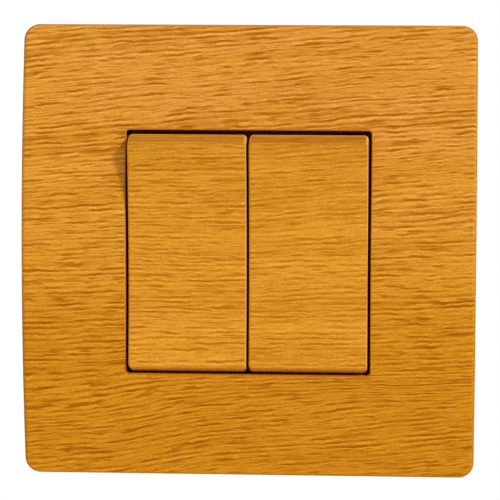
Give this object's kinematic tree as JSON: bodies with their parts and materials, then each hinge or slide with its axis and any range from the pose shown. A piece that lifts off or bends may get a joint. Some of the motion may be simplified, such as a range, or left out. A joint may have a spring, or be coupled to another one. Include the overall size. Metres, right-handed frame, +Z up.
{
  "type": "two-button light switch",
  "caption": "Flush wall light switch with an arched square cover plate in wood-grain finish, tall dished rockers side by side, and the mechanism behind it for a round wall box.",
  "frame": {"origin": "centre of the switch on the wall's surface, midway between the two box-screw slots", "axes": "+X right, +Z up, +Y into the wall; the front faces -Y"},
  "size_m": [0.082, 0.0328, 0.082],
  "materials": {
    "oak_film": "wood-grain film on a moulded part",
    "zinc_steel": "zinc plated",
    "white_moulding": "moulded",
    "dark_moulding": "moulded",
    "grey_nylon": "moulded",
    "natural_nylon": "moulded",
    "spring_steel": "drawn wire",
    "copper": "stamped",
    "brass": "machined",
    "silver": "rolled",
    "screw_steel": "zinc plated"
  },
  "bodies": {
    "housing": {"cover_plate": "oak_film", "support_frame": "zinc_steel", "bearing_bridge": "dark_moulding", "switch_base": "white_moulding", "frame_screws": "screw_steel", "common_terminal": "brass", "left_terminal": "brass", "right_terminal": "brass", "left_fixed_tip": "silver", "right_fixed_tip": "silver", "terminal_screws": "screw_steel", "claw_screws": "screw_steel"},
    "left_rocker": {"left_rocker": "oak_film", "left_carrier": "grey_nylon", "left_spring": "spring_steel"},
    "left_plunger": {"left_plunger": "natural_nylon"},
    "left_blade": {"left_blade": "copper", "left_moving_tip": "silver"},
    "left_claw": {"left_claw": "zinc_steel"},
    "right_rocker": {"right_rocker": "oak_film", "right_carrier": "grey_nylon", "right_spring": "spring_steel"},
    "right_plunger": {"right_plunger": "natural_nylon"},
    "right_blade": {"right_blade": "copper", "right_moving_tip": "silver"},
    "right_claw": {"right_claw": "zinc_steel"}
  },
  "joints": [
    {"name": "left_rocker_tilt", "type": "hinge", "parent": "housing", "child": "left_rocker", "pos_m": [-0.0109, -0.0045, 0], "axis": [1, 0, 0], "range_deg": [-7.4, 0]},
    {"name": "left_plunger_slide", "type": "slide", "parent": "left_rocker", "child": "left_plunger", "axis": [0, -0.9979, -0.0645], "range_m": [0, 0.0006], "stiffness_N_per_m": 500, "springref_m": -0.002, "deforming": ["left_spring"]},
    {"name": "left_blade_rock", "type": "hinge", "parent": "housing", "child": "left_blade", "pos_m": [-0.0109, 0.00835, 0], "axis": [1, 0, 0], "range_deg": [0, 14.8]},
    {"name": "right_rocker_tilt", "type": "hinge", "parent": "housing", "child": "right_rocker", "pos_m": [0.0109, -0.0045, 0], "axis": [1, 0, 0], "range_deg": [-7.4, 0]},
    {"name": "right_plunger_slide", "type": "slide", "parent": "right_rocker", "child": "right_plunger", "axis": [0, -0.9979, -0.0645], "range_m": [0, 0.0006], "stiffness_N_per_m": 500, "springref_m": -0.002, "deforming": ["right_spring"]},
    {"name": "right_blade_rock", "type": "hinge", "parent": "housing", "child": "right_blade", "pos_m": [0.0109, 0.00835, 0], "axis": [1, 0, 0], "range_deg": [0, 14.8]},
    {"name": "left_claw_swing", "type": "hinge", "parent": "housing", "child": "left_claw", "pos_m": [-0.0235, 0.0026, 0], "axis": [0, 0, 1], "range_deg": [0, 20]},
    {"name": "right_claw_swing", "type": "hinge", "parent": "housing", "child": "right_claw", "pos_m": [0.0235, 0.0026, 0], "axis": [0, 0, -1], "range_deg": [0, 20]}
  ],
  "couplings": [
    {"joint": "left_blade_rock", "follows": "left_rocker_tilt", "ratio": -2},
    {"joint": "right_blade_rock", "follows": "right_rocker_tilt", "ratio": -2}
  ]
}
